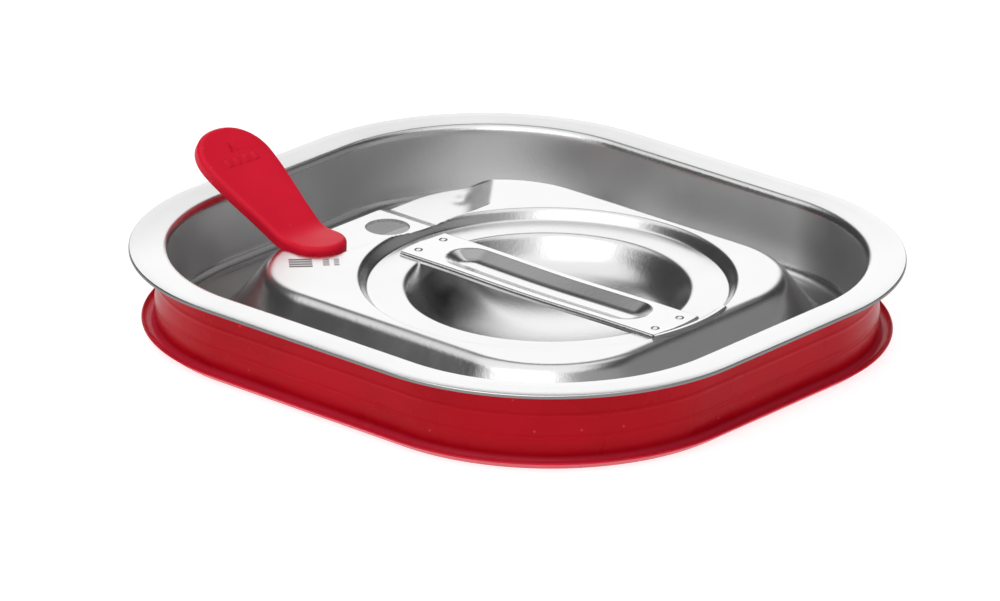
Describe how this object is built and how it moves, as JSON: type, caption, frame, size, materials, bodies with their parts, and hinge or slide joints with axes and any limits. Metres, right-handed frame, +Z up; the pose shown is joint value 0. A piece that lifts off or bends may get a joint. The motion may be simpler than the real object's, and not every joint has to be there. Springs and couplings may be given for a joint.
{
  "type": "airtight food pan lid",
  "caption": "Rounded-rectangle pressed steel lid for a gastronorm food pan, with a welded strip handle over a finger dish, a red silicone edge seal and a red pull tab beside a vent hole.",
  "frame": {"origin": "centre of the base plane that the seal's lower lip stands on", "axes": "+Z up through the lid, +X along its long side, with the pull tab on the -X side"},
  "size_m": [0.176, 0.162, 0.0371],
  "materials": {
    "polished_steel": "polished pressed stainless steel",
    "weld_steel": "dull spot weld",
    "seal_silicone": "glossy translucent silicone",
    "tab_silicone": "satin silicone"
  },
  "bodies": {
    "lid": {"lid_shell": "polished_steel", "handle_strip": "polished_steel", "handle_spot_welds": "weld_steel"},
    "seal": {"seal": "seal_silicone"},
    "tab_root": {"tab_root": "tab_silicone"},
    "tongue": {"pull_tongue": "tab_silicone"}
  },
  "joints": [
    {"name": "seal_pull_off", "type": "slide", "parent": "lid", "child": "seal", "axis": [0, 0, -1], "range_m": [0, 0.03]},
    {"name": "tab_swivel", "type": "hinge", "parent": "lid", "child": "tab_root", "pos_m": [-0.0467, -0.022, 0.0145], "axis": [0, 0, 1], "range_deg": [-86.5, 3.5]},
    {"name": "tongue_flex", "type": "hinge", "parent": "tab_root", "child": "tongue", "pos_m": [-0.05149, -0.02171, 0.01646], "axis": [0.061, 0.9981, 0], "range_deg": [-12, 55], "stiffness_Nm_per_rad": 0.015}
  ]
}
